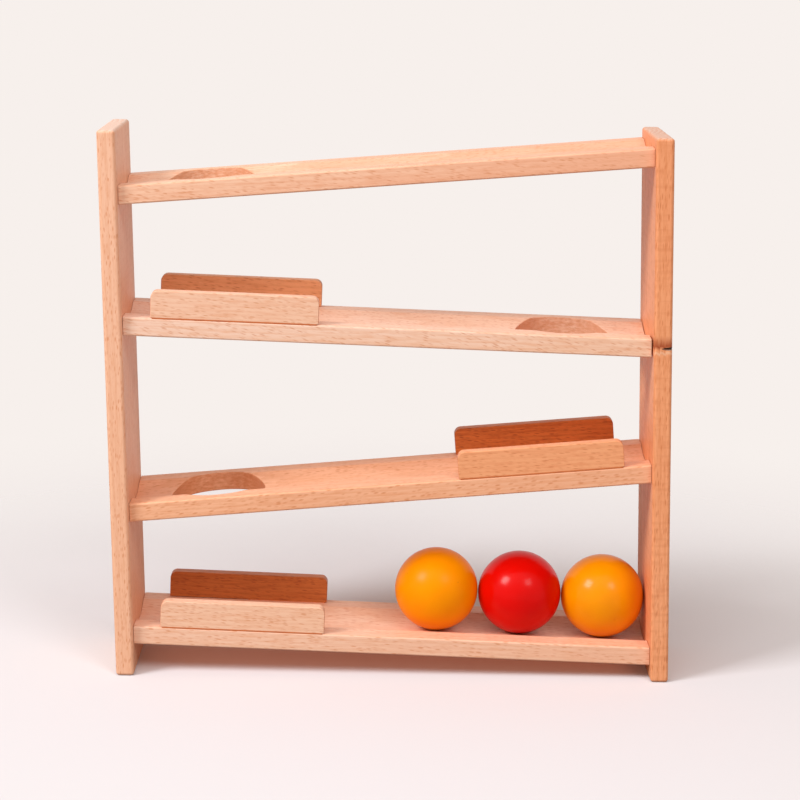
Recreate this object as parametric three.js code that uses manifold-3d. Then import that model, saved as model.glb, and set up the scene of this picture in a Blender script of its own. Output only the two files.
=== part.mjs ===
// Marble run: two beech posts carry four grooved ramps that fall left and right by turns. A ball rolls down
// a ramp's groove, drops through the round hole near its low end, is kept in by the pair of guards on the ramp
// below, and comes to rest against the right post on the bottom ramp.
// Millimetres and degrees. +X to the right, +Y to the back, +Z up. The origin is on the floor under the middle.
import * as THREE from "three";
import { mergeVertices } from "three/addons/utils/BufferGeometryUtils.js";
import Module from "manifold-3d";

// Frame: the space between the posts, and the boards that the posts are cut from.
const INNER_WIDTH = 306;
const POST_THICKNESS = 10.6;
const POST_EDGE_RADIUS = 1.5;
const HEADROOM = 6.2; // post above the high end of the top ramp
const RACK_ANGLE = 1.49; // the posts lean to the left by this much; 0 is a square frame

// Ramps: they lie flush with the posts at the back and set back at the front. Their depth follows from the ball
// and the guards, so that a ball always has room between a pair of guards.
const RAMP_THICKNESS = 10.9;
const RAMP_SETBACK = 5;
const RAMP_EDGE_RADIUS = 1.2;
const BOTTOM_LEVEL = 24.5; // floor to the top of the bottom ramp, at mid-length
const LEVEL_PITCH = 92.8; // from one ramp to the next, at mid-length
const GROOVE_WIDTH = 43.2;
const GROOVE_DEPTH = 4.6;
const HOLE_CLEARANCE = 5.4; // the drop hole's diameter beyond the ball's
const HOLE_EDGE_TO_POST = 22.3;

// Slope is positive where the ramp rises to the right. The low end has the drop hole, the high end the guards.
const RAMPS = [
  { name: "bottom_ramp", level: 0, slope: -1.74, hasHole: false, guards: "bottom" },
  { name: "third_ramp", level: 1, slope: 5.15, hasHole: true, guards: "third" },
  { name: "second_ramp", level: 2, slope: -1.61, hasHole: true, guards: "second" },
  { name: "top_ramp", level: 3, slope: 4.83, hasHole: true, guards: null },
];

// Guards: low rails on both lips of a ramp, where the ball lands.
const GUARD_LENGTH = 97;
const GUARD_HEIGHT = 16.1;
const GUARD_THICKNESS = 7.6;
const GUARD_CORNER_RADIUS = 4;
const GUARD_EDGE_RADIUS = 0.6;
const GUARD_TO_POST = 16;
const GUARD_CLEARANCE = 3.4; // between a ball in the groove and the guard on either side

// Balls
const BALL_DIAMETER = 50;
const BALLS = ["right_yellow_ball", "red_ball", "left_yellow_ball"]; // from the right post outwards
const BALL_GAP = 0.3; // between a ball and whatever it touches

// Hidden joinery: glued dowels at the ramps' ends and glued pins under the guards.
const DOWEL_DIAMETER = 6;
const DOWEL_IN_POST = 7;
const DOWEL_IN_RAMP = 16;
const PIN_DIAMETER = 3;
const PIN_IN_GUARD = 9;
const PIN_IN_RAMP = 6;
const PIN_TO_GUARD_END = 15;
const GLUE_GAP = 0.25; // round a dowel or pin, past its ends, and between glued faces

// Fineness of the curved faces
const CURVE_SEGMENTS = 5;
const EDGE_SEGMENTS = 2;
const HOLE_SIDES = 48;
const DOWEL_SIDES = 12;
const BALL_MERIDIANS = 24;
const BALL_PARALLELS = 16;
const CUT_OVERRUN = 20; // how far a cutting solid runs past the wood that it cuts

// Values that follow from the sizes above
const rampDepth = BALL_DIAMETER + 2 * (GUARD_CLEARANCE + GUARD_THICKNESS);
const postDepth = rampDepth + RAMP_SETBACK;
const rampCentreY = RAMP_SETBACK / 2;
const lipWidth = (rampDepth - GROOVE_WIDTH) / 2;
const lipCentreY = (GROOVE_WIDTH + lipWidth) / 2; // from the groove's middle
const ballRadius = BALL_DIAMETER / 2;
const holeRadius = (BALL_DIAMETER + HOLE_CLEARANCE) / 2;
const rack = -Math.tan(THREE.MathUtils.degToRad(RACK_ANGLE)); // sideways shift for each mm of height
const topRamp = RAMPS[RAMPS.length - 1];
const postHeight =
  levelOf(topRamp) + (INNER_WIDTH / 2) * Math.abs(slopeTangent(topRamp)) + HEADROOM;

const MATERIALS = {
  post: new THREE.MeshStandardMaterial({ color: 0xdba481, roughness: 0.55, metalness: 0 }),
  ramp: new THREE.MeshStandardMaterial({ color: 0xe6b391, roughness: 0.5, metalness: 0 }),
  guard: new THREE.MeshStandardMaterial({ color: 0xe2ab87, roughness: 0.5, metalness: 0 }),
  dowel: new THREE.MeshStandardMaterial({ color: 0xd8b48c, roughness: 0.7, metalness: 0 }),
  yellow: new THREE.MeshStandardMaterial({ color: 0xf29a0c, roughness: 0.25, metalness: 0 }),
  red: new THREE.MeshStandardMaterial({ color: 0xd8120f, roughness: 0.25, metalness: 0 }),
};

const wasm = await Module();
wasm.setup();

/** Height of a ramp's top face above the floor, at mid-length. */
function levelOf(ramp) {
  return BOTTOM_LEVEL + ramp.level * LEVEL_PITCH;
}

function slopeTangent(ramp) {
  return Math.tan(THREE.MathUtils.degToRad(ramp.slope));
}

/** +1 where the ramp's low end is on the right, -1 where it is on the left. */
function lowSide(ramp) {
  return -Math.sign(ramp.slope);
}

/** Sideways shift of the racked frame at a height. */
function rackShift(z) {
  return rack * (z - postHeight / 2);
}

/** A closed three.js geometry as a solid for joining and cutting. */
function solidOf(geometry) {
  const bare = geometry.clone();
  bare.deleteAttribute("normal");
  bare.deleteAttribute("uv");
  const merged = mergeVertices(bare);
  return new wasm.Manifold(
    new wasm.Mesh({
      numProp: 3,
      vertProperties: new Float32Array(merged.attributes.position.array),
      triVerts: new Uint32Array(merged.index.array),
    }),
  );
}

/** The solid back as a three.js geometry. */
function geometryOf(solid) {
  const mesh = solid.getMesh();
  const geometry = new THREE.BufferGeometry();
  geometry.setAttribute("position", new THREE.BufferAttribute(mesh.vertProperties, 3));
  geometry.setIndex(new THREE.BufferAttribute(mesh.triVerts, 1));
  geometry.computeVertexNormals();
  return geometry;
}

function namedMesh(name, geometry, material) {
  const mesh = new THREE.Mesh(geometry, material);
  mesh.name = name;
  return mesh;
}

/** An outline with rounded corners: each corner is [x, y, radius], in counter-clockwise order. */
function roundedOutline(corners) {
  const shape = new THREE.Shape();
  corners.forEach(([x, y, radius], i) => {
    const here = new THREE.Vector2(x, y);
    const before = cornerPoint(corners, i - 1).sub(here).normalize();
    const after = cornerPoint(corners, i + 1).sub(here).normalize();
    const start = here.clone().addScaledVector(before, radius);
    const end = here.clone().addScaledVector(after, radius);
    if (i === 0) shape.moveTo(start.x, start.y);
    else shape.lineTo(start.x, start.y);
    if (radius > 0) shape.quadraticCurveTo(x, y, end.x, end.y);
  });
  shape.closePath();
  return shape;
}

function cornerPoint(corners, i) {
  const [x, y] = corners[(i + corners.length) % corners.length];
  return new THREE.Vector2(x, y);
}

/** A cylinder along the local X axis, from x0 to x1. */
function rodAlongX(radius, x0, x1) {
  return new THREE.CylinderGeometry(radius, radius, x1 - x0, DOWEL_SIDES)
    .rotateZ(Math.PI / 2)
    .translate((x0 + x1) / 2, 0, 0);
}

/** A cylinder along the local Z axis, from z0 to z1. */
function rodAlongZ(radius, z0, z1, sides) {
  return new THREE.CylinderGeometry(radius, radius, z1 - z0, sides)
    .rotateX(Math.PI / 2)
    .translate(0, 0, (z0 + z1) / 2);
}

/** The shear that leans everything between floor and top to the left. */
function rackMatrix() {
  const shear = new THREE.Matrix4().makeShear(0, 0, 0, 0, rack, 0);
  return shear.premultiply(new THREE.Matrix4().makeTranslation(rackShift(0), 0, 0));
}

/** A ramp's own frame: X along it, Y to the back from the groove's middle, Z square to its lips. */
function rampGroup(ramp) {
  const group = new THREE.Group();
  const z = levelOf(ramp);
  group.position.set(rackShift(z), rampCentreY, z);
  group.rotation.y = -THREE.MathUtils.degToRad(ramp.slope);
  group.updateMatrix();
  return group;
}

/** Where a post's inner face crosses a line along a ramp, at an offset square to the ramp; side is -1 or 1. */
function innerFaceAlong(ramp, side, offset) {
  const angle = THREE.MathUtils.degToRad(ramp.slope);
  const startX = rackShift(levelOf(ramp)) - offset * Math.sin(angle);
  const startZ = levelOf(ramp) + offset * Math.cos(angle);
  const faceX = (side * INNER_WIDTH) / 2 + rackShift(startZ);
  return (faceX - startX) / (Math.cos(angle) - rack * Math.sin(angle));
}

/** The dowels of one ramp: their place across it, and where they start and end along it. */
function dowelsOf(ramp) {
  const centreZ = -RAMP_THICKNESS / 2;
  return [-1, 1].flatMap((side) =>
    [-1, 1].map((row) => {
      const face = innerFaceAlong(ramp, side, centreZ);
      const ends = [face - side * DOWEL_IN_RAMP, face + side * DOWEL_IN_POST];
      return {
        name: `${ramp.name}_${side < 0 ? "left" : "right"}_${row < 0 ? "front" : "rear"}_dowel`,
        y: row * lipCentreY,
        z: centreZ,
        x0: Math.min(...ends),
        x1: Math.max(...ends),
      };
    }),
  );
}

/** Dowel geometry in the ramp's frame, with an allowance for glue all round where a hole is made. */
function dowelGeometry(dowel, allowance) {
  const radius = DOWEL_DIAMETER / 2 + allowance;
  return rodAlongX(radius, dowel.x0 - allowance, dowel.x1 + allowance).translate(0, dowel.y, dowel.z);
}

/** The pair of guards of one ramp: name, the side of the groove, and the middle along the ramp. */
function guardsOf(ramp) {
  if (!ramp.guards) return [];
  const highSide = -lowSide(ramp);
  const face = innerFaceAlong(ramp, highSide, 0);
  const centreX = face - highSide * (GUARD_TO_POST + GUARD_LENGTH / 2);
  return [-1, 1].map((row) => ({
    name: `${ramp.guards}_${row < 0 ? "front" : "rear"}_guard`,
    x: centreX,
    y: row * (rampDepth / 2 - GUARD_THICKNESS / 2),
  }));
}

/** The two pins under a guard, as places in the ramp's frame. */
function pinsOf(guard) {
  return [-1, 1].map((end) => ({
    name: `${guard.name}_${end < 0 ? "left" : "right"}_pin`,
    x: guard.x + end * (GUARD_LENGTH / 2 - PIN_TO_GUARD_END),
    y: guard.y,
  }));
}

function pinGeometry(pin, allowance) {
  const radius = PIN_DIAMETER / 2 + allowance;
  const geometry = rodAlongZ(radius, -PIN_IN_RAMP - allowance, PIN_IN_GUARD + allowance, DOWEL_SIDES);
  return geometry.translate(pin.x, pin.y, 0);
}

/** A post: a board on end with eased edges, leaning, with a blind hole for each dowel. */
function makePost(side) {
  const halfThickness = POST_THICKNESS / 2;
  const halfDepth = postDepth / 2;
  const outline = roundedOutline([
    [-halfThickness, -halfDepth, POST_EDGE_RADIUS],
    [halfThickness, -halfDepth, POST_EDGE_RADIUS],
    [halfThickness, halfDepth, POST_EDGE_RADIUS],
    [-halfThickness, halfDepth, POST_EDGE_RADIUS],
  ]);
  const board = new THREE.ExtrudeGeometry(outline, {
    depth: postHeight - 2 * POST_EDGE_RADIUS,
    bevelThickness: POST_EDGE_RADIUS,
    bevelSize: POST_EDGE_RADIUS / 2,
    bevelOffset: -POST_EDGE_RADIUS / 2,
    bevelSegments: EDGE_SEGMENTS,
    curveSegments: EDGE_SEGMENTS,
  });
  board.translate((side * (INNER_WIDTH + POST_THICKNESS)) / 2, 0, POST_EDGE_RADIUS);
  board.applyMatrix4(rackMatrix());
  let post = solidOf(board);
  for (const ramp of RAMPS) {
    const matrix = rampGroup(ramp).matrix;
    for (const dowel of dowelsOf(ramp)) {
      post = post.subtract(solidOf(dowelGeometry(dowel, GLUE_GAP).applyMatrix4(matrix)));
    }
  }
  return namedMesh(side < 0 ? "left_post" : "right_post", geometryOf(post), MATERIALS.post);
}

/** A ramp's section across its length: a board with eased edges and a shallow round groove in its top. */
function rampSection() {
  const half = rampDepth / 2;
  const radius = RAMP_EDGE_RADIUS;
  const grooveRadius = ((GROOVE_WIDTH / 2) ** 2 + GROOVE_DEPTH ** 2) / (2 * GROOVE_DEPTH);
  const grooveCentreZ = grooveRadius - GROOVE_DEPTH;
  const spread = Math.asin(GROOVE_WIDTH / 2 / grooveRadius);
  const down = -Math.PI / 2;
  const section = new THREE.Shape();
  section.moveTo(-half, -radius);
  section.lineTo(-half, -RAMP_THICKNESS + radius);
  section.quadraticCurveTo(-half, -RAMP_THICKNESS, -half + radius, -RAMP_THICKNESS);
  section.lineTo(half - radius, -RAMP_THICKNESS);
  section.quadraticCurveTo(half, -RAMP_THICKNESS, half, -RAMP_THICKNESS + radius);
  section.lineTo(half, -radius);
  section.quadraticCurveTo(half, 0, half - radius, 0);
  section.absarc(0, grooveCentreZ, grooveRadius, down + spread, down - spread, true);
  section.lineTo(-half + radius, 0);
  section.quadraticCurveTo(-half, 0, -half, -radius);
  return section;
}

/** The space between the posts, less a glue gap at each, as a leaning block. */
function bayGeometry() {
  const width = INNER_WIDTH - 2 * GLUE_GAP;
  const height = postHeight + 2 * CUT_OVERRUN;
  const block = new THREE.BoxGeometry(width, postDepth + 2 * CUT_OVERRUN, height);
  return block.translate(0, 0, postHeight / 2).applyMatrix4(rackMatrix());
}

/** A ramp in its own frame: grooved board, cut to the posts, with its drop hole, dowel holes and pin holes. */
function makeRamp(ramp, group) {
  const length = INNER_WIDTH + 2 * CUT_OVERRUN;
  const board = new THREE.ExtrudeGeometry(rampSection(), {
    depth: length,
    bevelEnabled: false,
    curveSegments: CURVE_SEGMENTS,
  });
  const alongX = new THREE.Matrix4().makeBasis(
    new THREE.Vector3(0, 1, 0),
    new THREE.Vector3(0, 0, 1),
    new THREE.Vector3(1, 0, 0),
  );
  board.applyMatrix4(alongX).translate(-length / 2, 0, 0);
  const bay = bayGeometry().applyMatrix4(group.matrix.clone().invert());
  let solid = solidOf(board).intersect(solidOf(bay));
  if (ramp.hasHole) {
    const side = lowSide(ramp);
    const centreX = innerFaceAlong(ramp, side, 0) - side * (HOLE_EDGE_TO_POST + holeRadius);
    const cutter = rodAlongZ(holeRadius, -RAMP_THICKNESS - CUT_OVERRUN, CUT_OVERRUN, HOLE_SIDES);
    solid = solid.subtract(solidOf(cutter.translate(centreX, 0, 0)));
  }
  for (const dowel of dowelsOf(ramp)) {
    solid = solid.subtract(solidOf(dowelGeometry(dowel, GLUE_GAP)));
  }
  for (const pin of guardsOf(ramp).flatMap(pinsOf)) {
    solid = solid.subtract(solidOf(pinGeometry(pin, GLUE_GAP)));
  }
  return namedMesh(ramp.name, geometryOf(solid), MATERIALS.ramp);
}

/** A guard in its ramp's frame: a thin rail, rounded at its top corners, glued and pinned to the lip. */
function makeGuard(guard) {
  const half = GUARD_LENGTH / 2 - GUARD_EDGE_RADIUS;
  const foot = GLUE_GAP + GUARD_EDGE_RADIUS;
  const top = GUARD_HEIGHT - GUARD_EDGE_RADIUS;
  const outline = roundedOutline([
    [-half, foot, 0],
    [half, foot, 0],
    [half, top, GUARD_CORNER_RADIUS],
    [-half, top, GUARD_CORNER_RADIUS],
  ]);
  const rail = new THREE.ExtrudeGeometry(outline, {
    depth: GUARD_THICKNESS - 2 * GUARD_EDGE_RADIUS,
    bevelThickness: GUARD_EDGE_RADIUS,
    bevelSize: GUARD_EDGE_RADIUS,
    bevelSegments: EDGE_SEGMENTS,
    curveSegments: CURVE_SEGMENTS,
  });
  rail.translate(0, 0, -(GUARD_THICKNESS / 2 - GUARD_EDGE_RADIUS)).rotateX(Math.PI / 2);
  rail.translate(guard.x, guard.y, 0);
  let solid = solidOf(rail);
  for (const pin of pinsOf(guard)) solid = solid.subtract(solidOf(pinGeometry(pin, GLUE_GAP)));
  return namedMesh(guard.name, geometryOf(solid), MATERIALS.guard);
}

/** The balls, at rest in the bottom groove: the first against the right post, each next one against the last. */
function makeBalls(ramp, group) {
  const height = -GROOVE_DEPTH + BALL_GAP + ballRadius;
  const leanFromSquare = THREE.MathUtils.degToRad(RACK_ANGLE + ramp.slope);
  const firstX = innerFaceAlong(ramp, 1, height) - (ballRadius + BALL_GAP) / Math.cos(leanFromSquare);
  BALLS.forEach((name, i) => {
    const material = name.startsWith("red") ? MATERIALS.red : MATERIALS.yellow;
    const sphere = new THREE.SphereGeometry(ballRadius, BALL_MERIDIANS, BALL_PARALLELS);
    const ball = namedMesh(name, sphere, material);
    ball.position.set(firstX - i * (BALL_DIAMETER + BALL_GAP), 0, height);
    group.add(ball);
  });
}

const marbleRun = new THREE.Group();
marbleRun.add(makePost(-1), makePost(1));
for (const ramp of RAMPS) {
  const group = rampGroup(ramp);
  group.add(makeRamp(ramp, group));
  for (const dowel of dowelsOf(ramp)) {
    group.add(namedMesh(dowel.name, dowelGeometry(dowel, 0), MATERIALS.dowel));
  }
  for (const guard of guardsOf(ramp)) {
    group.add(makeGuard(guard));
    for (const pin of pinsOf(guard)) {
      group.add(namedMesh(pin.name, pinGeometry(pin, 0), MATERIALS.dowel));
    }
  }
  if (ramp === RAMPS[0]) makeBalls(ramp, group);
  marbleRun.add(group);
}

export default marbleRun;
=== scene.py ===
import math

import bmesh
import bpy
from mathutils import Matrix, Vector
from mathutils.geometry import intersect_line_plane


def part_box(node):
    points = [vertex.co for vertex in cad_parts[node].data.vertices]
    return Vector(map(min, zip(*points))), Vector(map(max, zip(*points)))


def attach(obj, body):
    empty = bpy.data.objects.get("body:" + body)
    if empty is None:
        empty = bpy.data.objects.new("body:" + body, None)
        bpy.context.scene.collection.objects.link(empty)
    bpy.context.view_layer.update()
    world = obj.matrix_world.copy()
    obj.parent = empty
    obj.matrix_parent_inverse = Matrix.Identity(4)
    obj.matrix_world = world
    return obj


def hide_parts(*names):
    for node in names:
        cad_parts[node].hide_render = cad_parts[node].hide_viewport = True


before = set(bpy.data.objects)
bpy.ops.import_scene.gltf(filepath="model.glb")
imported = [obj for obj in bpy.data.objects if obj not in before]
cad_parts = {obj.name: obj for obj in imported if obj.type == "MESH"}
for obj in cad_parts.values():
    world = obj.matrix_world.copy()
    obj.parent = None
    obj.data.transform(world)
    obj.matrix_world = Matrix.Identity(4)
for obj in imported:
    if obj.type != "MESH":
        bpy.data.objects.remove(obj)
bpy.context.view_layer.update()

MM = 0.001

# Sizes of the boards, as the frame has them
LEAN = math.radians(1.49)  # the posts lean to the left
POST_THICKNESS = 10.6 * MM
POST_DEPTH = 77 * MM
POST_EDGE = 2 * MM
KNOT_HEIGHT = 201 * MM
KNOT_LENGTH = 5.6 * MM
KNOT_OPENING = 1.6 * MM
KNOT_DEPTH = 3 * MM
KNOT_MARKS_FADE = (8, 20)  # millimetres behind the post's front face
RAMP_THICKNESS = 10.9 * MM
RAMP_EDGE = 1.1 * MM
GROOVE_WIDTH = 43.2 * MM
GROOVE_DEPTH = 4.6 * MM
GROOVE_ARRIS = 0.35 * MM
GROOVE_STEPS = 20
HOLE_DIAMETER = 55.4 * MM
HOLE_EDGE_TO_POST = 22.3 * MM
HOLE_SIDES = 96
HOLE_RIM = 0.55 * MM
GUARD_LENGTH = 97 * MM
GUARD_HEIGHT = 16.1 * MM
GUARD_THICKNESS = 7.6 * MM
GUARD_CORNER = 4 * MM
GUARD_EDGE = 0.5 * MM
GLUE_GAP = 0.25 * MM
BEAD_HEIGHT = 0.9 * MM  # the line of glue squeezed out under a guard
BEAD_INSET = 0.05 * MM  # from the guard's faces
BALL_DIAMETER = 50 * MM
CUT_OVERRUN = 20 * MM
SHARP_ANGLE = math.radians(50)  # edges sharper than this are sawn, and aren't shaded as round

# Each ramp: its slope in degrees (positive rises to the right), the side of its drop hole, and its guards
RAMPS = {
    "bottom_ramp": (-1.74, 0, ("bottom_front_guard", "bottom_rear_guard")),
    "third_ramp": (5.15, -1, ("third_front_guard", "third_rear_guard")),
    "second_ramp": (-1.61, 1, ("second_front_guard", "second_rear_guard")),
    "top_ramp": (4.83, -1, ()),
}

# The end of the second ramp is sawn a little out of square, so its joint gapes at the front.
OUT_OF_SQUARE = {("second_ramp", 1): math.radians(0.6)}


def linear(colour):
    """An sRGB hex colour as linear RGBA."""
    channels = [int(colour[i : i + 2], 16) / 255 for i in (1, 3, 5)]
    return [c / 12.92 if c <= 0.04045 else ((c + 0.055) / 1.055) ** 2.4 for c in channels] + [1]


def add(tree, kind, links, **settings):
    """Adds a node with its settings; links gives an input a socket to read or a fixed value."""
    node = tree.nodes.new(kind)
    for name, value in settings.items():
        setattr(node, name, value)
    for name, source in links.items():
        if isinstance(source, bpy.types.NodeSocket):
            tree.links.new(source, node.inputs[name])
        else:
            node.inputs[name].default_value = source
    return node


def new_material(name):
    material = bpy.data.materials.new(name)
    material.use_nodes = True
    material.node_tree.nodes.clear()
    return material


def grained_wood(
    name,
    centre,
    turn,
    tones,
    flecks=(4.6, 1.1, 0.1),
    cross_figure=0.0,
    roughness=0.5,
    offset=0.0,
    knot=None,
    hole=None,
):
    """Planed beech, waxed: a solid pattern that runs through the board, so that its faces, ends and hole agree.

    tones are hex colours: the left or lower end, the right or upper end, the late wood of the growth rings,
    the ray flecks, and the end grain. flecks is their spacing along and across in millimetres and their tilt.
    cross_figure is the strength of dark bars across the grain. knot and hole are places along the board in
    millimetres.
    """
    near_end, far_end, late_wood, ray, end_grain = (linear(tone) for tone in tones)
    material = new_material(name)
    tree = material.node_tree
    place = add(tree, "ShaderNodeTexCoord", {})
    # Board coordinates in millimetres: X along the grain, Y to the back, Z square to both
    board = add(
        tree,
        "ShaderNodeMapping",
        {"Vector": place.outputs["Object"], "Location": centre, "Rotation": (0, turn, 0), "Scale": (MM, MM, MM)},
        vector_type="TEXTURE",
    ).outputs["Vector"]
    split = add(tree, "ShaderNodeSeparateXYZ", {"Vector": board})
    along = split.outputs["X"]

    # Slow drift of tone from one end of the board to the other, broken by blotches 90 mm long and 12 mm wide
    drift = add(tree, "ShaderNodeMapRange", {"Value": along, "From Min": -150, "From Max": 150}).outputs["Result"]
    blotch_space = add(
        tree,
        "ShaderNodeMapping",
        {"Vector": board, "Location": (offset, 0, 0), "Scale": (1 / 90, 1 / 12, 1 / 12)},
    )
    blotch = add(
        tree, "ShaderNodeTexNoise", {"Vector": blotch_space.outputs["Vector"], "Scale": 1, "Detail": 2}
    ).outputs["Fac"]
    blotch_sway = add(
        tree,
        "ShaderNodeMapRange",
        {"Value": blotch, "From Min": 0.3, "From Max": 0.7, "To Min": -0.35, "To Max": 0.35},
    ).outputs["Result"]
    tone_factor = add(
        tree, "ShaderNodeMath", {0: drift, 1: blotch_sway}, operation="ADD", use_clamp=True
    ).outputs["Value"]
    tone = add(
        tree, "ShaderNodeMix", {0: tone_factor, 6: near_end, 7: far_end}, data_type="RGBA"
    ).outputs[2]

    # Growth rings about 3 mm apart round a heart 60 mm off the board; a ring of a Wave texture is pi / 10 wide
    ring_space = add(
        tree,
        "ShaderNodeMapping",
        {
            "Vector": board,
            "Location": (offset * 3, 14, 60),
            "Rotation": (0, 0.03, 0.05),
            "Scale": (16, 1, 1),
        },
        vector_type="TEXTURE",
    )
    rings = add(
        tree,
        "ShaderNodeTexWave",
        {
            "Vector": ring_space.outputs["Vector"],
            "Scale": math.pi / 10 / 3,
            "Distortion": 5,
            "Detail": 2,
            "Detail Scale": 0.7,
        },
        wave_type="RINGS",
        rings_direction="X",
        wave_profile="SAW",
    ).outputs["Fac"]
    ring_line = add(
        tree, "ShaderNodeMapRange", {"Value": rings, "From Min": 0.45, "From Max": 1, "To Max": 0.4}
    ).outputs["Result"]
    ringed = add(
        tree, "ShaderNodeMix", {0: ring_line, 6: tone, 7: late_wood}, data_type="RGBA"
    ).outputs[2]

    # Fibre bundles; real ones are 0.3 mm wide, drawn 1.1 mm wide and 11 mm long so that they show
    fibre_space = add(
        tree,
        "ShaderNodeMapping",
        {"Vector": board, "Location": (offset, offset, 0), "Scale": (1 / 11, 1 / 1.1, 1 / 1.1)},
    )
    fibre = add(
        tree, "ShaderNodeTexNoise", {"Vector": fibre_space.outputs["Vector"], "Scale": 1, "Detail": 3}
    ).outputs["Fac"]
    fibre_line = add(
        tree, "ShaderNodeMapRange", {"Value": fibre, "From Min": 0.46, "From Max": 0.74, "To Max": 0.7}
    ).outputs["Result"]
    fibred = add(
        tree, "ShaderNodeMix", {0: fibre_line, 6: ringed, 7: late_wood}, data_type="RGBA"
    ).outputs[2]

    # Ray flecks: slanting spindles, one in the middle of each cell, some strong and some faint; real ones are
    # 0.3 mm wide and are drawn twice that
    length, width, tilt = flecks
    fleck_space = add(
        tree,
        "ShaderNodeMapping",
        {
            "Vector": board,
            "Location": (offset * 2, 0, offset),
            "Rotation": (0, tilt, 0),
            "Scale": (length, width, width),
        },
        vector_type="TEXTURE",
    )
    cells = add(
        tree, "ShaderNodeTexVoronoi", {"Vector": fleck_space.outputs["Vector"], "Scale": 1, "Randomness": 1}
    )
    spindle = add(
        tree,
        "ShaderNodeMapRange",
        {"Value": cells.outputs["Distance"], "From Min": 0.2, "From Max": 0.46, "To Min": 1, "To Max": 0},
    ).outputs["Result"]
    chosen = add(
        tree, "ShaderNodeSeparateColor", {"Color": cells.outputs["Color"]}
    ).outputs["Red"]
    shown = add(
        tree, "ShaderNodeMapRange", {"Value": chosen, "From Min": 0.1, "From Max": 0.9, "To Max": 0.8}
    ).outputs["Result"]
    fleck = add(tree, "ShaderNodeMath", {0: spindle, 1: shown}, operation="MULTIPLY").outputs["Value"]
    flecked = add(
        tree, "ShaderNodeMix", {0: fleck, 6: fibred, 7: ray}, data_type="RGBA"
    ).outputs[2]

    if cross_figure:
        # Bars across the grain, 3 mm high and 14 mm wide, where the fibres wave
        bar_space = add(
            tree,
            "ShaderNodeMapping",
            {"Vector": board, "Location": (offset, 0, 0), "Scale": (1 / 3, 1 / 14, 1 / 14)},
        )
        bars = add(
            tree, "ShaderNodeTexNoise", {"Vector": bar_space.outputs["Vector"], "Scale": 1, "Detail": 3}
        ).outputs["Fac"]
        bar = add(
            tree,
            "ShaderNodeMapRange",
            {"Value": bars, "From Min": 0.5, "From Max": 0.75, "To Max": cross_figure},
        ).outputs["Result"]
        flecked = add(
            tree, "ShaderNodeMix", {0: bar, 6: flecked, 7: ray}, data_type="RGBA"
        ).outputs[2]

    if knot is not None:
        # Dark wood on the upper side of the knot, 7 mm high, and a pale seam of new wood curving under it
        wobble = add(
            tree, "ShaderNodeMath", {0: ring_line, 1: 3.0}, operation="MULTIPLY"
        ).outputs["Value"]
        height = add(tree, "ShaderNodeMath", {0: along, 1: wobble}, operation="ADD").outputs["Value"]
        # The knot lies at the front edge, and its marks die away behind it
        near_front = add(
            tree,
            "ShaderNodeMapRange",
            {
                "Value": split.outputs["Y"],
                "From Min": KNOT_MARKS_FADE[0] - POST_DEPTH / 2 / MM,
                "From Max": KNOT_MARKS_FADE[1] - POST_DEPTH / 2 / MM,
                "To Min": 1,
                "To Max": 0,
            },
        ).outputs["Result"]
        for start, core, end, strength, shade in (
            (knot - 0.4, knot + 1.6, knot + 8.0, 1.0, "#a4481c"),
            (knot - 3.6, knot - 2.2, knot - 1.0, 0.6, "#fbcdaa"),
        ):
            rise = add(
                tree, "ShaderNodeMapRange", {"Value": height, "From Min": start, "From Max": core}
            ).outputs["Result"]
            fall = add(
                tree,
                "ShaderNodeMapRange",
                {"Value": height, "From Min": core, "From Max": end, "To Min": strength, "To Max": 0},
            ).outputs["Result"]
            whole_band = add(
                tree, "ShaderNodeMath", {0: rise, 1: fall}, operation="MULTIPLY"
            ).outputs["Value"]
            band = add(
                tree, "ShaderNodeMath", {0: whole_band, 1: near_front}, operation="MULTIPLY"
            ).outputs["Value"]
            flecked = add(
                tree, "ShaderNodeMix", {0: band, 6: flecked, 7: linear(shade)}, data_type="RGBA"
            ).outputs[2]
        # Near-black colour on the crack's walls and just round its mouth
        crack_black_space = add(
            tree,
            "ShaderNodeMapping",
            {
                "Vector": board,
                "Location": (knot, -POST_DEPTH / 2 / MM, -POST_THICKNESS / 2 / MM),
                "Scale": (KNOT_OPENING / 2 / MM * 1.2, KNOT_DEPTH / MM * 1.2, KNOT_LENGTH / MM * 1.04),
            },
            vector_type="TEXTURE",
        ).outputs["Vector"]
        reach = add(
            tree, "ShaderNodeVectorMath", {0: crack_black_space}, operation="LENGTH"
        ).outputs["Value"]
        crack_black = add(
            tree,
            "ShaderNodeMapRange",
            {"Value": reach, "From Min": 0.9, "From Max": 1.15, "To Min": 1, "To Max": 0},
        ).outputs["Result"]
        flecked = add(
            tree, "ShaderNodeMix", {0: crack_black, 6: flecked, 7: linear("#150905")}, data_type="RGBA"
        ).outputs[2]

    if hole is not None:
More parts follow.
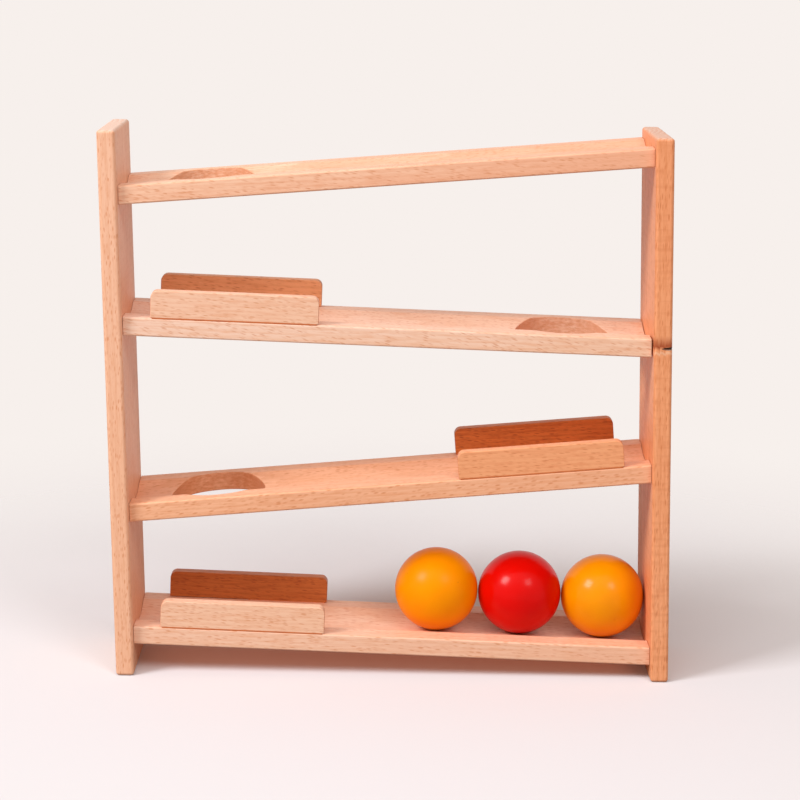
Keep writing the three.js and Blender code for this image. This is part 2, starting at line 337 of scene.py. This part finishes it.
        # The wall of the drop hole, left rough from the bit: darker, with scores round it 1.2 mm apart
        from_axis = add(
            tree,
            "ShaderNodeVectorMath",
            {0: board, 1: (hole, 0, 0)},
            operation="SUBTRACT",
        ).outputs["Vector"]
        flat_space = add(
            tree, "ShaderNodeVectorMath", {0: from_axis, 1: (1, 1, 0)}, operation="MULTIPLY"
        ).outputs["Vector"]
        reach = add(
            tree, "ShaderNodeVectorMath", {0: flat_space}, operation="LENGTH"
        ).outputs["Value"]
        wall = add(
            tree,
            "ShaderNodeMapRange",
            {
                "Value": reach,
                "From Min": HOLE_DIAMETER / 2 / MM + 0.2,
                "From Max": HOLE_DIAMETER / 2 / MM + 0.5,
                "To Min": 1,
                "To Max": 0,
            },
        ).outputs["Result"]
        score_space = add(
            tree, "ShaderNodeMapping", {"Vector": board, "Scale": (1 / 3, 1 / 6, 1 / 1.2)}
        )
        scores = add(
            tree, "ShaderNodeTexNoise", {"Vector": score_space.outputs["Vector"], "Scale": 1, "Detail": 3}
        ).outputs["Fac"]
        depth = add(
            tree,
            "ShaderNodeMapRange",
            {"Value": scores, "From Min": 0.35, "From Max": 0.7, "To Min": 0.2, "To Max": 0.95},
        ).outputs["Result"]
        rough_wall = add(
            tree, "ShaderNodeMath", {0: wall, 1: depth}, operation="MULTIPLY"
        ).outputs["Value"]
        flecked = add(
            tree, "ShaderNodeMix", {0: rough_wall, 6: flecked, 7: ray}, data_type="RGBA"
        ).outputs[2]

    # Where the surface cuts across the grain the pores take up more wax, and the rings stand out; on the posts
    # the pale end-grain tone is painted light on their tops
    grain_line = Matrix.Rotation(turn, 3, "Y") @ Vector((1, 0, 0))
    facing = add(
        tree, "ShaderNodeVectorMath", {0: place.outputs["Normal"], 1: grain_line}, operation="DOT_PRODUCT"
    ).outputs["Value"]
    across = add(tree, "ShaderNodeMath", {0: facing}, operation="ABSOLUTE").outputs["Value"]
    end_factor = add(
        tree, "ShaderNodeMapRange", {"Value": across, "From Min": 0.35, "From Max": 0.95, "To Max": 0.8}
    ).outputs["Result"]
    end_ring = add(
        tree, "ShaderNodeMapRange", {"Value": rings, "From Min": 0.3, "From Max": 1, "To Max": 0.5}
    ).outputs["Result"]
    end_tone = add(
        tree, "ShaderNodeMix", {0: end_ring, 6: end_grain, 7: ray}, data_type="RGBA"
    ).outputs[2]
    colour = add(
        tree, "ShaderNodeMix", {0: end_factor, 6: flecked, 7: end_tone}, data_type="RGBA"
    ).outputs[2]

    gloss = add(
        tree,
        "ShaderNodeMapRange",
        {
            "Value": fibre,
            "From Min": 0.3,
            "From Max": 0.7,
            "To Min": roughness - 0.06,
            "To Max": roughness + 0.08,
        },
    ).outputs["Result"]
    if knot is not None:
        gloss = add(tree, "ShaderNodeMath", {0: gloss, 1: crack_black}, operation="MAXIMUM").outputs["Value"]
    relief = add(tree, "ShaderNodeMath", {0: fibre, 1: fleck}, operation="SUBTRACT").outputs["Value"]
    bump = add(
        tree, "ShaderNodeBump", {"Height": relief, "Strength": 0.5, "Distance": 0.08 * MM}
    ).outputs["Normal"]
    surface = add(
        tree,
        "ShaderNodeBsdfPrincipled",
        {"Base Color": colour, "Roughness": gloss, "Normal": bump, "IOR": 1.5},
    )
    add(tree, "ShaderNodeOutputMaterial", {"Surface": surface.outputs["BSDF"]})
    return material


def lacquered_ball(name, centre, colour, deep_colour, coat_weight, coat_roughness, speck_share=0.0):
    """Sprayed gloss lacquer on a turned wooden ball: saturated colour, soft highlights, a faint orange peel."""
    material = new_material(name)
    tree = material.node_tree
    place = add(tree, "ShaderNodeTexCoord", {})
    ball = add(
        tree,
        "ShaderNodeMapping",
        {"Vector": place.outputs["Object"], "Location": centre, "Scale": (MM, MM, MM)},
        vector_type="TEXTURE",
    ).outputs["Vector"]
    # Clouds 14 mm wide where the coat is thicker
    clouds = add(tree, "ShaderNodeTexNoise", {"Vector": ball, "Scale": 1 / 14, "Detail": 2}).outputs["Fac"]
    cloud_factor = add(
        tree, "ShaderNodeMapRange", {"Value": clouds, "From Min": 0.35, "From Max": 0.75, "To Max": 0.45}
    ).outputs["Result"]
    coat = add(
        tree,
        "ShaderNodeMix",
        {0: cloud_factor, 6: linear(colour), 7: linear(deep_colour)},
        data_type="RGBA",
    ).outputs[2]
    # Dust specks 0.5 mm across, in cells of 7 mm
    cells = add(tree, "ShaderNodeTexVoronoi", {"Vector": ball, "Scale": 1 / 7})
    speck = add(
        tree,
        "ShaderNodeMapRange",
        {
            "Value": cells.outputs["Distance"],
            "From Min": 0.03,
            "From Max": 0.05,
            "To Min": speck_share,
            "To Max": 0,
        },
    ).outputs["Result"]
    specked = add(
        tree, "ShaderNodeMix", {0: speck, 6: coat, 7: linear("#7a3d12")}, data_type="RGBA"
    ).outputs[2]
    # Orange peel 1.6 mm wide
    peel = add(tree, "ShaderNodeTexNoise", {"Vector": ball, "Scale": 1 / 1.6, "Detail": 1}).outputs["Fac"]
    bump = add(
        tree, "ShaderNodeBump", {"Height": peel, "Strength": 0.12, "Distance": 0.05 * MM}
    ).outputs["Normal"]
    surface = add(
        tree,
        "ShaderNodeBsdfPrincipled",
        {
            "Base Color": specked,
            "Roughness": 0.32,
            "Normal": bump,
            "IOR": 1.5,
            "Specular IOR Level": 0.06,
            "Coat Weight": coat_weight,
            "Coat Roughness": coat_roughness,
        },
    )
    add(tree, "ShaderNodeOutputMaterial", {"Surface": surface.outputs["BSDF"]})
    return material


def dried_glue():
    """Wood glue squeezed into the joint and dried: amber, a little glossy, so the joint reads as a warm line."""
    material = new_material("dried wood glue")
    tree = material.node_tree
    place = add(tree, "ShaderNodeTexCoord", {})
    # Thick and thin places 5 mm long
    run = add(
        tree, "ShaderNodeTexNoise", {"Vector": place.outputs["Object"], "Scale": 1 / (5 * MM), "Detail": 1}
    ).outputs["Fac"]
    colour = add(
        tree, "ShaderNodeMix", {0: run, 6: linear("#e08248"), 7: linear("#c4602c")}, data_type="RGBA"
    ).outputs[2]
    surface = add(
        tree, "ShaderNodeBsdfPrincipled", {"Base Color": colour, "Roughness": 0.35, "IOR": 1.47}
    )
    add(tree, "ShaderNodeOutputMaterial", {"Surface": surface.outputs["BSDF"]})
    return material


def plain_object(name, mesh_builder):
    mesh = bpy.data.meshes.new(name)
    mesh_builder.to_mesh(mesh)
    mesh_builder.free()
    made = bpy.data.objects.new(name, mesh)
    bpy.context.collection.objects.link(made)
    return made


def finish_piece(name, mesh_builder, material, body, node=None):
    """Merges doubles, turns the faces outwards, and hands the piece to the frame."""
    bmesh.ops.remove_doubles(mesh_builder, verts=mesh_builder.verts, dist=0.001 * MM)
    bmesh.ops.recalc_face_normals(mesh_builder, faces=mesh_builder.faces)
    for face in mesh_builder.faces:
        face.smooth = True
    for edge in mesh_builder.edges:
        edge.smooth = edge.calc_face_angle(0) < SHARP_ANGLE
    piece = plain_object(name, mesh_builder)
    piece.data.materials.append(material)
    flat = piece.modifiers.new("flat faces stay flat", "WEIGHTED_NORMAL")
    flat.weight = 100
    flat.keep_sharp = True
    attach(piece, body)
    if node:
        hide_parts(node)
    return piece


def less(whole, tool):
    """The first mesh with the second cut out of it."""
    board = plain_object("board being cut", whole)
    cutter = plain_object("cutter", tool)
    cutting = board.modifiers.new("cut", "BOOLEAN")
    cutting.object = cutter
    cutting.operation = "DIFFERENCE"
    cutting.solver = "EXACT"
    result = bmesh.new()
    result.from_object(board, bpy.context.evaluated_depsgraph_get())
    for leftover in (board, cutter):
        bpy.data.objects.remove(leftover)
    return result


def block(size):
    """A box of a size round the origin."""
    made = bmesh.new()
    bmesh.ops.create_cube(made, size=1)
    bmesh.ops.scale(made, vec=size, verts=made.verts)
    return made


def round_edges(mesh_builder, edges, radius, segments):
    bmesh.ops.bevel(
        mesh_builder,
        geom=list(edges),
        offset=radius,
        offset_type="OFFSET",
        affect="EDGES",
        segments=segments,
        profile=0.5,
        material=-1,
        clamp_overlap=False,
    )


def middle(node):
    low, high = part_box(node)
    return (low + high) / 2


def inner_face(side):
    """A post's inner face: a point on it, and its normal towards the other post. side is -1 or 1."""
    normal = Vector((-side * math.cos(LEAN), 0, -side * math.sin(LEAN)))
    post = middle("left_post" if side < 0 else "right_post")
    return post - Vector((side * POST_THICKNESS / 2, 0, 0)), normal


def make_post(side, material):
    name = "left_post" if side < 0 else "right_post"
    low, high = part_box(name)
    post = block((POST_THICKNESS, high.y - low.y, high.z - low.z))
    round_edges(post, post.edges, POST_EDGE, 5)
    for vertex in post.verts:
        vertex.co.x -= math.tan(LEAN) * vertex.co.z
    bmesh.ops.translate(post, vec=(low + high) / 2, verts=post.verts)
    if side > 0:
        post = less(post, knot_crack())
    return finish_piece("beech_" + name, post, material, "frame", name)


def knot_crack():
    """A crack in a knot, from the right post's outer front edge inwards: flat, and sharp at its end."""
    low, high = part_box("right_post")
    edge_x = high.x - math.tan(LEAN) * KNOT_HEIGHT
    crack = bmesh.new()
    bmesh.ops.create_uvsphere(crack, u_segments=32, v_segments=16, radius=1)
    bmesh.ops.scale(crack, vec=(KNOT_LENGTH, KNOT_DEPTH, KNOT_OPENING / 2), verts=crack.verts)
    bmesh.ops.translate(crack, vec=(edge_x, low.y, KNOT_HEIGHT), verts=crack.verts)
    return crack


def ramp_place(name):
    """The ramp's own frame: X along it, Z square to its lips, the origin in the middle of its top face."""
    slope = math.radians(RAMPS[name][0])
    turned = Matrix.Translation(middle(name)) @ Matrix.Rotation(-slope, 4, "Y")
    return turned @ Matrix.Translation((0, 0, RAMP_THICKNESS / 2))


def make_ramp(name, material):
    low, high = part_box(name)
    place = ramp_place(name)
    half_depth = (high.y - low.y) / 2
    length = high.x - low.x + 2 * CUT_OVERRUN

    # Section: an arc for the groove, then lips, sides and underside
    groove_radius = ((GROOVE_WIDTH / 2) ** 2 + GROOVE_DEPTH**2) / (2 * GROOVE_DEPTH)
    spread = math.asin(GROOVE_WIDTH / 2 / groove_radius)
    ramp = bmesh.new()
    lip = ramp.verts.new((-length / 2, -GROOVE_WIDTH / 2, 0))
    bmesh.ops.spin(
        ramp,
        geom=[lip],
        cent=(0, 0, groove_radius - GROOVE_DEPTH),
        axis=(1, 0, 0),
        angle=2 * spread,
        steps=GROOVE_STEPS,
    )
    ramp.verts.ensure_lookup_table()
    end_of_arc = max(ramp.verts, key=lambda vertex: vertex.co.y)
    corners = [
        ramp.verts.new((-length / 2, y, z))
        for y, z in (
            (half_depth, 0),
            (half_depth, -RAMP_THICKNESS),
            (-half_depth, -RAMP_THICKNESS),
            (-half_depth, 0),
        )
    ]
    for first, second in zip([end_of_arc, *corners], [*corners, lip]):
        ramp.edges.new((first, second))
    section = bmesh.ops.contextual_create(ramp, geom=ramp.edges)["faces"]
    pushed = bmesh.ops.extrude_face_region(ramp, geom=section)["geom"]
    bmesh.ops.translate(
        ramp, vec=(length, 0, 0), verts=[part for part in pushed if isinstance(part, bmesh.types.BMVert)]
    )

    along = [edge for edge in ramp.edges if abs(edge.verts[0].co.x - edge.verts[1].co.x) > length / 2]
    outer = [edge for edge in along if abs(edge.verts[0].co.y) > half_depth - MM]
    arrises = [
        edge
        for edge in along
        if abs(abs(edge.verts[0].co.y) - GROOVE_WIDTH / 2) < 0.01 * MM
        and abs(edge.verts[0].co.z) < 0.01 * MM
    ]
    round_edges(ramp, outer, RAMP_EDGE, 4)
    arrises = [edge for edge in arrises if edge.is_valid]
    round_edges(ramp, arrises, GROOVE_ARRIS, 2)

    # Saw the ends to the leaning posts, less the joint's gap
    bmesh.ops.transform(ramp, matrix=place, verts=ramp.verts)
    for side in (-1, 1):
        point, normal = inner_face(side)
        skew = OUT_OF_SQUARE.get((name, side), 0)
        back_edge = point + Vector((0, half_depth, 0))
        cut_normal = Matrix.Rotation(-side * skew, 3, "Z") @ -normal
        bmesh.ops.bisect_plane(
            ramp,
            geom=[*ramp.verts, *ramp.edges, *ramp.faces],
            plane_co=back_edge + normal * GLUE_GAP,
            plane_no=cut_normal,
            clear_outer=True,
        )
        open_edges = [edge for edge in ramp.edges if len(edge.link_faces) == 1]
        bmesh.ops.holes_fill(ramp, edges=open_edges)

    hole_side = RAMPS[name][1]
    if hole_side:
        ramp = drill(ramp, place, hole_side)
    return finish_piece("beech_" + name, ramp, material, "frame", name)


def hole_centre(place, side):
    """How far along the ramp the drop hole's axis is, from the ramp's middle."""
    point, normal = inner_face(side)
    start = place.translation
    face_point = intersect_line_plane(start, start + place.to_3x3() @ Vector((1, 0, 0)), point, normal)
    return (place.inverted() @ face_point).x - side * (HOLE_EDGE_TO_POST + HOLE_DIAMETER / 2)


def drill(ramp, place, side):
    """The drop hole near the low end, square to the ramp, with its two rims broken by sandpaper."""
    centre = Vector((hole_centre(place, side), 0, 0))
    bit = bmesh.new()
    bmesh.ops.create_cone(
        bit,
        cap_ends=True,
        segments=HOLE_SIDES,
        radius1=HOLE_DIAMETER / 2,
        radius2=HOLE_DIAMETER / 2,
        depth=2 * CUT_OVERRUN,
    )
    bmesh.ops.translate(bit, vec=centre, verts=bit.verts)
    bmesh.ops.transform(bit, matrix=place, verts=bit.verts)
    ramp = less(ramp, bit)
    bmesh.ops.transform(ramp, matrix=place.inverted(), verts=ramp.verts)

    def on_wall(vertex):
        return abs((vertex.co - centre).xy.length - HOLE_DIAMETER / 2) < 0.05 * MM

    rim_vertices = [vertex for vertex in ramp.verts if on_wall(vertex)]
    bmesh.ops.remove_doubles(ramp, verts=rim_vertices, dist=0.25 * MM)
    rims = [
        edge
        for edge in ramp.edges
        if all(on_wall(vertex) for vertex in edge.verts)
        and abs(edge.verts[0].co.z - edge.verts[1].co.z) < MM
        and len(edge.link_faces) == 2
        and edge.calc_face_angle(0) > math.radians(30)
    ]
    round_edges(ramp, rims, HOLE_RIM, 3)
    bmesh.ops.transform(ramp, matrix=place, verts=ramp.verts)
    return ramp


def make_guard(name, ramp_name, material, glue, glue_span):
    """A low rail on a lip, rounded at its top corners, and the line of glue under it."""
    place = ramp_place(ramp_name)
    local = place.inverted() @ middle(name)
    rise = GUARD_HEIGHT - GLUE_GAP
    guard = block((GUARD_LENGTH, GUARD_THICKNESS, rise))
    top_corners = [
        edge
        for edge in guard.edges
        if all(vertex.co.z > 0 for vertex in edge.verts)
        and abs(edge.verts[0].co.x - edge.verts[1].co.x) < MM
    ]
    round_edges(guard, top_corners, GUARD_CORNER, 8)
    sharp = [edge for edge in guard.edges if edge.calc_face_angle(0) > math.radians(40)]
    round_edges(guard, sharp, GUARD_EDGE, 4)
    bmesh.ops.translate(guard, vec=(local.x, local.y, GLUE_GAP + rise / 2), verts=guard.verts)
    bmesh.ops.transform(guard, matrix=place, verts=guard.verts)
    finish_piece("beech_" + name, guard, material, "frame", name)

    start, end = glue_span
    bead = block(((end - start) * GUARD_LENGTH, GUARD_THICKNESS - 2 * BEAD_INSET, BEAD_HEIGHT))
    round_edges(bead, bead.edges, BEAD_HEIGHT / 4, 2)
    offset = ((start + end) / 2 - 0.5) * GUARD_LENGTH
    bmesh.ops.translate(bead, vec=(local.x + offset, local.y, GLUE_GAP / 2), verts=bead.verts)
    bmesh.ops.transform(bead, matrix=place, verts=bead.verts)
    finish_piece("glue_under_" + name, bead, glue, "frame")


def make_ball(node, body, material, dents):
    ball = bmesh.new()
    bmesh.ops.create_icosphere(ball, subdivisions=7, radius=BALL_DIAMETER / 2)
    for direction, width, depth in dents:
        deepest = Vector(direction).normalized() * BALL_DIAMETER / 2
        for vertex in ball.verts:
            reach = (vertex.co - deepest).length / width
            if reach < 1:
                vertex.co *= 1 - depth / (BALL_DIAMETER / 2) * (1 - reach**2) ** 2
    bmesh.ops.translate(ball, vec=middle(node), verts=ball.verts)
    return finish_piece("lacquered_" + node, ball, material, body, node)


# Boards: tones of the lower or left end, of the upper or right end, late wood, ray flecks, end grain
POST_TURN = -(math.pi / 2 + LEAN)
# The posts' end-grain tones, the last of each list, are pale: painted light on the post tops, which face the
# lamps
left_post_wood = grained_wood(
    "waxed beech, left post",
    middle("left_post"),
    POST_TURN,
    ("#fac3a0", "#fcc9aa", "#ecac84", "#df9468", "#ecd4c6"),
    flecks=(4.0, 1.0, 0.05),
    offset=11.0,
)
right_post_wood = grained_wood(
    "waxed beech, right post",
    middle("right_post"),
    POST_TURN,
    ("#faaf7e", "#f4a474", "#e08c58", "#cf7640", "#dfc0ae"),
    flecks=(5.6, 0.8, 0.04),
    cross_figure=0.32,
    offset=37.0,
    knot=(KNOT_HEIGHT - middle("right_post").z) / MM,
)
RAMP_TONES = {
    "bottom_ramp": ("#fbd0b5", "#f8c4a5", "#edb08a", "#de966c", "#e3a47c"),
    "third_ramp": ("#fbbf98", "#f5b791", "#e79f72", "#d98a5a", "#dc8c5e"),
    "second_ramp": ("#fdd9c4", "#f9cfb3", "#edb38e", "#dd9c76", "#e8a27c"),
    "top_ramp": ("#fdd0b2", "#f6b896", "#eaa882", "#dc946a", "#f0ad86"),
}
GUARD_TONES_AND_PAINTED_SHADE = {
    "bottom_front_guard": ("#fcd1b4", "#facaaa", "#edb08a", "#de966c", "#e3a47c"),
    "third_front_guard": ("#f8af7e", "#f6ad7c", "#e89666", "#d5804e", "#dc8c5e"),
    "second_front_guard": ("#fcd0b4", "#faccae", "#edae88", "#dc986e", "#e8a27c"),
    # The three rear guards' tones are darkened, most on the bottom ramp: painted shade cast by the ramp above,
    # not the wood's colour
    "bottom_rear_guard": ("#ce763a", "#c87034", "#ac5824", "#9c4a1e", "#c87c4e"),
    "third_rear_guard": ("#da7e3e", "#d67838", "#b45a24", "#a04c1e", "#c87c4e"),
    "second_rear_guard": ("#eeac7e", "#eca87a", "#d8905e", "#bc6e42", "#d08a5e"),
}
RAMP_FLECK_TILT = {"bottom_ramp": 0.06, "second_ramp": 0.26, "top_ramp": 0.22}
glue = dried_glue()
GLUE_SPANS = {"bottom_rear_guard": (0.5, 0.99)}  # the left half of this guard has no glue, and a black gap
WHOLE_SPAN = (0.01, 0.99)

make_post(-1, left_post_wood)
make_post(1, right_post_wood)
for number, (ramp_name, (slope, hole_side, guards)) in enumerate(RAMPS.items()):
    turn = -math.radians(slope)
    curly = ramp_name == "third_ramp"
    wood = grained_wood(
        "waxed beech, " + ramp_name.replace("_", " "),
        middle(ramp_name),
        turn,
        RAMP_TONES[ramp_name],
        flecks=(4.4, 1.3, -0.12) if curly else (5.0, 0.95, RAMP_FLECK_TILT[ramp_name]),
        offset=53.0 + 29.0 * number,
        hole=hole_centre(ramp_place(ramp_name), hole_side) / MM if hole_side else None,
    )
    make_ramp(ramp_name, wood)
    for guard_name in guards:
        guard_wood = grained_wood(
            "waxed beech, " + guard_name.replace("_", " "),
            middle(guard_name),
            turn,
            GUARD_TONES_AND_PAINTED_SHADE[guard_name],
            flecks=(4.6, 0.85, 0.12),
            offset=17.0 * (number + 2) + (7 if "rear" in guard_name else 0),
        )
        make_guard(guard_name, ramp_name, guard_wood, glue, GLUE_SPANS.get(guard_name, WHOLE_SPAN))

make_ball(
    "right_yellow_ball",
    "right_ball",
    lacquered_ball(
        "gloss lacquer, yellow, right",
        middle("right_yellow_ball"),
        "#f69800",
        "#ec8a00",
        coat_weight=0.24,
        coat_roughness=0.17,
    ),
    [((0.25, -0.9, -0.34), 1.6 * MM, 0.18 * MM)],
)
make_ball(
    "red_ball",
    "middle_ball",
    lacquered_ball(
        "gloss lacquer, red",
        middle("red_ball"),
        "#e00500",
        "#d00400",
        coat_weight=0.21,
        coat_roughness=0.17,
    ),
    [],
)
make_ball(
    "left_yellow_ball",
    "left_ball",
    lacquered_ball(
        "gloss lacquer, yellow, left",
        middle("left_yellow_ball"),
        "#ff9a00",
        "#fa8e00",
        coat_weight=0.07,
        coat_roughness=0.24,
        speck_share=0.4,
    ),
    [((0.35, -0.85, 0.35), 0.9 * MM, 0.1 * MM)],
)

# Dowels and pins stay as the frame has them, in raw beech
raw_beech = grained_wood(
    "raw beech, dowels and pins",
    Vector((0, 0, 0)),
    0,
    ("#dcb78c", "#d6b084", "#c49a6c", "#b0885c", "#c8a074"),
    roughness=0.7,
)
for node_name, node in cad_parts.items():
    if node_name.endswith(("_dowel", "_pin")):
        for slot in node.material_slots:
            slot.material = raw_beech


def studio():
    """A pale floor that fades into the backdrop's colour, soft lamps, and even light from all round."""
    floor_material = new_material("matt pale paper")
    tree = floor_material.node_tree
    place = add(tree, "ShaderNodeTexCoord", {})
    distance = add(
        tree, "ShaderNodeVectorMath", {0: place.outputs["Object"]}, operation="LENGTH"
    ).outputs["Value"]
    fade = add(
        tree,
        "ShaderNodeMapRange",
        {"Value": distance, "From Min": 0.12, "From Max": 0.68},
        interpolation_type="SMOOTHSTEP",
    ).outputs["Result"]
    # The floor throws less light back up than it shows, as a small sheet of paper on a table would
    rays = add(tree, "ShaderNodeLightPath", {}).outputs["Is Camera Ray"]
    paper_tone = add(
        tree, "ShaderNodeMix", {0: rays, 6: linear("#b0a9a6"), 7: linear("#ecebf0")}, data_type="RGBA"
    ).outputs[2]
    paper = add(tree, "ShaderNodeBsdfDiffuse", {"Color": paper_tone})
    clear = add(tree, "ShaderNodeBsdfTransparent", {})
    mixed = add(
        tree, "ShaderNodeMixShader", {0: fade, 1: paper.outputs["BSDF"], 2: clear.outputs["BSDF"]}
    )
    add(tree, "ShaderNodeOutputMaterial", {"Surface": mixed.outputs["Shader"]})
    floor = bmesh.new()
    bmesh.ops.create_circle(floor, cap_ends=True, radius=1.2, segments=96)
    floor = plain_object("floor", floor)
    floor.data.materials.append(floor_material)

    world = bpy.data.worlds.new("studio")
    bpy.context.scene.world = world
    world.use_nodes = True
    tree = world.node_tree
    tree.nodes.clear()
    rays = add(tree, "ShaderNodeLightPath", {})
    through = add(
        tree,
        "ShaderNodeMath",
        {0: rays.outputs["Is Camera Ray"], 1: rays.outputs["Is Transmission Ray"]},
        operation="MAXIMUM",
    ).outputs["Value"]
    seen = add(
        tree, "ShaderNodeMath", {0: through, 1: rays.outputs["Is Glossy Ray"]}, operation="MAXIMUM"
    ).outputs["Value"]
    room = add(tree, "ShaderNodeBackground", {"Color": linear("#ffe6d6"), "Strength": 0.36})
    backdrop = add(tree, "ShaderNodeBackground", {"Color": linear("#f7f0ec"), "Strength": 1})
    both = add(
        tree,
        "ShaderNodeMixShader",
        {0: seen, 1: room.outputs["Background"], 2: backdrop.outputs["Background"]},
    )
    add(tree, "ShaderNodeOutputWorld", {"Surface": both.outputs["Shader"]})

    aim = Vector((0, 0, 0.15))
    for name, place, size, power in (
        ("key lamp", (-2.4, -1.6, 2.5), 1.2, 90),
        ("fill lamp", (1.3, -2.3, 2.3), 1.0, 19),
        ("overhead panel", (-0.2, -1.8, 2.8), 2.4, 34),
    ):
        lamp = bpy.data.lights.new(name, "AREA")
        lamp.shape = "SQUARE"
        lamp.size = size
        lamp.energy = power
        holder = bpy.data.objects.new(name, lamp)
        holder.location = place
        holder.rotation_euler = (aim - Vector(place)).to_track_quat("-Z", "Y").to_euler()
        # Two windows are mirrored in the lacquer, not three
        holder.visible_glossy = name != "overhead panel"
        bpy.context.collection.objects.link(holder)

    # The low gap under the bottom ramp fills with light off the wood, so the shadow there is brown, not grey
    lamp = bpy.data.lights.new("light off the underside", "AREA")
    lamp.shape = "RECTANGLE"
    lamp.size = 290 * MM
    lamp.size_y = 60 * MM
    lamp.energy = 0.011
    lamp.color = (1, 0.29, 0.15)
    holder = bpy.data.objects.new("light off the underside", lamp)
    holder.matrix_world = ramp_place("bottom_ramp") @ Matrix.Translation((0, 0, -RAMP_THICKNESS - MM))
    holder.visible_camera = False
    holder.visible_glossy = False
    bpy.context.collection.objects.link(holder)


def camera():
    lens = bpy.data.cameras.new("camera")
    lens.lens = 104.54
    lens.sensor_width = 36
    holder = bpy.data.objects.new("camera", lens)
    holder.location = (-0.005196, -1.352943, 0.439807)
    holder.rotation_euler = (1.3676, -0.0152, -0.0055)
    bpy.context.collection.objects.link(holder)
    bpy.context.scene.camera = holder


studio()
camera()
bpy.context.scene.view_settings.view_transform = "Standard"
